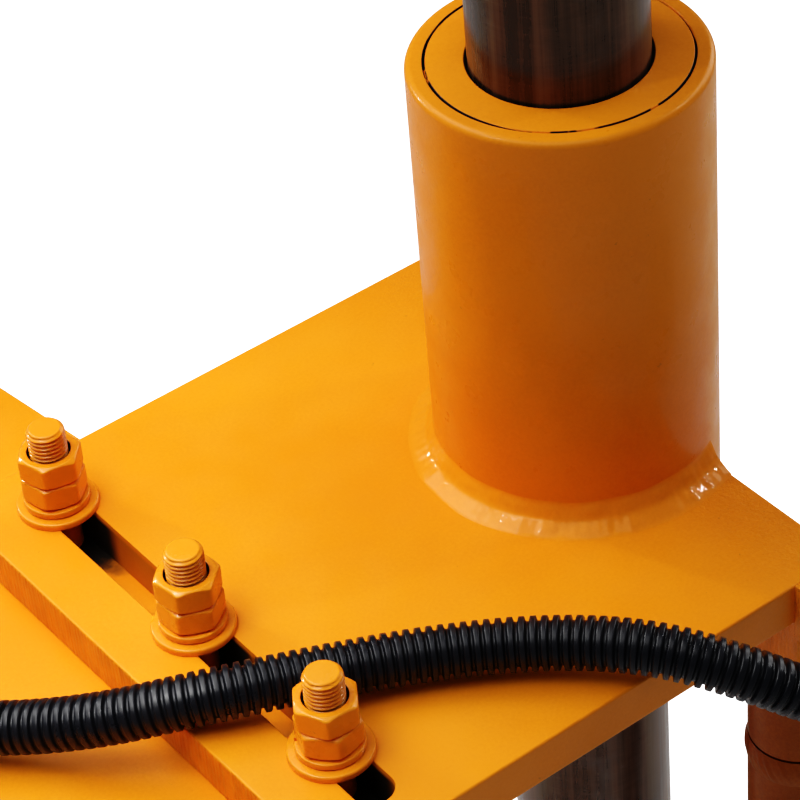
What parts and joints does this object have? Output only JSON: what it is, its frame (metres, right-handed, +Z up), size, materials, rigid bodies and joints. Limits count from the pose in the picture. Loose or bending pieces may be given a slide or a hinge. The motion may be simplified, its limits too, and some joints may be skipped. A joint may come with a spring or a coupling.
{
  "type": "guided crosshead",
  "caption": "Thick plate with a tall guide sleeve sliding on a round column, lifted by a small hydraulic ram; a slotted carrier plate on studs and a corrugated conduit ride with it.",
  "frame": {"origin": "centre of the guide column's lower end, on the column's axis", "axes": "+Z up along the column; +Y along the plate's slot towards the back; +X across the plate, away from the slot"},
  "size_m": [0.467, 0.441, 0.81],
  "materials": {
    "amber_paint": "gloss enamel, sprayed",
    "bush_bronze": "turned bronze, top face painted over",
    "oiled_steel": "ground, dark with old oil",
    "ram_paint": "semi-gloss enamel",
    "dark_steel": "blackened",
    "hard_chrome": "ground and plated",
    "seal_rubber": "matt",
    "zinc_steel": "zinc plated",
    "grey_box": "fine grained",
    "black_conduit": "gloss, corrugated",
    "black_plastic": "satin",
    "contact_insert": "contact pins in an insert"
  },
  "bodies": {
    "column": {"guide_column": "oiled_steel"},
    "crosshead": {"crosshead_plate": "amber_paint", "guide_sleeve": "amber_paint", "upper_bush": "bush_bronze", "lower_bush": "bush_bronze", "wiper_ring": "seal_rubber", "upper_weld": "amber_paint", "lower_weld": "amber_paint", "grease_nipple": "zinc_steel", "ram_block": "amber_paint", "ram_cap": "ram_paint", "ram_weld_bead": "ram_paint", "ram_barrel": "ram_paint", "ram_gland": "dark_steel", "rod_wiper": "seal_rubber", "cap_port_fitting": "zinc_steel", "rod_port_fitting": "zinc_steel", "box_bracket": "amber_paint", "bracket_screw_1": "zinc_steel", "bracket_screw_2": "zinc_steel", "terminal_box": "grey_box", "lid_gasket": "seal_rubber", "terminal_lid": "grey_box", "lid_screws": "zinc_steel", "conduit_gland": "black_plastic", "gland_locknut": "black_plastic", "conduit": "black_conduit", "inline_connector": "black_plastic", "connector_insert": "contact_insert"},
    "ram_rod": {"ram_piston": "dark_steel", "piston_seal_1": "seal_rubber", "piston_seal_2": "seal_rubber", "ram_rod": "hard_chrome", "rod_jam_nut": "dark_steel", "rod_eye": "ram_paint"},
    "carrier": {"carrier_plate": "amber_paint", "stud_1": "amber_paint", "stud_2": "amber_paint", "stud_3": "amber_paint", "flat_washer_1": "amber_paint", "flat_washer_2": "amber_paint", "flat_washer_3": "amber_paint", "spring_washer_1": "amber_paint", "spring_washer_2": "amber_paint", "spring_washer_3": "amber_paint", "lower_nut_1": "amber_paint", "lower_nut_2": "amber_paint", "lower_nut_3": "amber_paint", "upper_nut_1": "amber_paint", "upper_nut_2": "amber_paint", "upper_nut_3": "amber_paint"}
  },
  "joints": [
    {"name": "crosshead_lift", "type": "slide", "parent": "column", "child": "crosshead", "axis": [0, 0, 1], "range_m": [0, 0.12]},
    {"name": "ram_extend", "type": "slide", "parent": "crosshead", "child": "ram_rod", "axis": [0, 0, -1], "range_m": [0, 0.12]},
    {"name": "carrier_adjust", "type": "slide", "parent": "crosshead", "child": "carrier", "axis": [0, 1, 0], "range_m": [-0.02, 0.002]}
  ],
  "couplings": [
    {"joint": "ram_extend", "follows": "crosshead_lift", "ratio": 1}
  ]
}
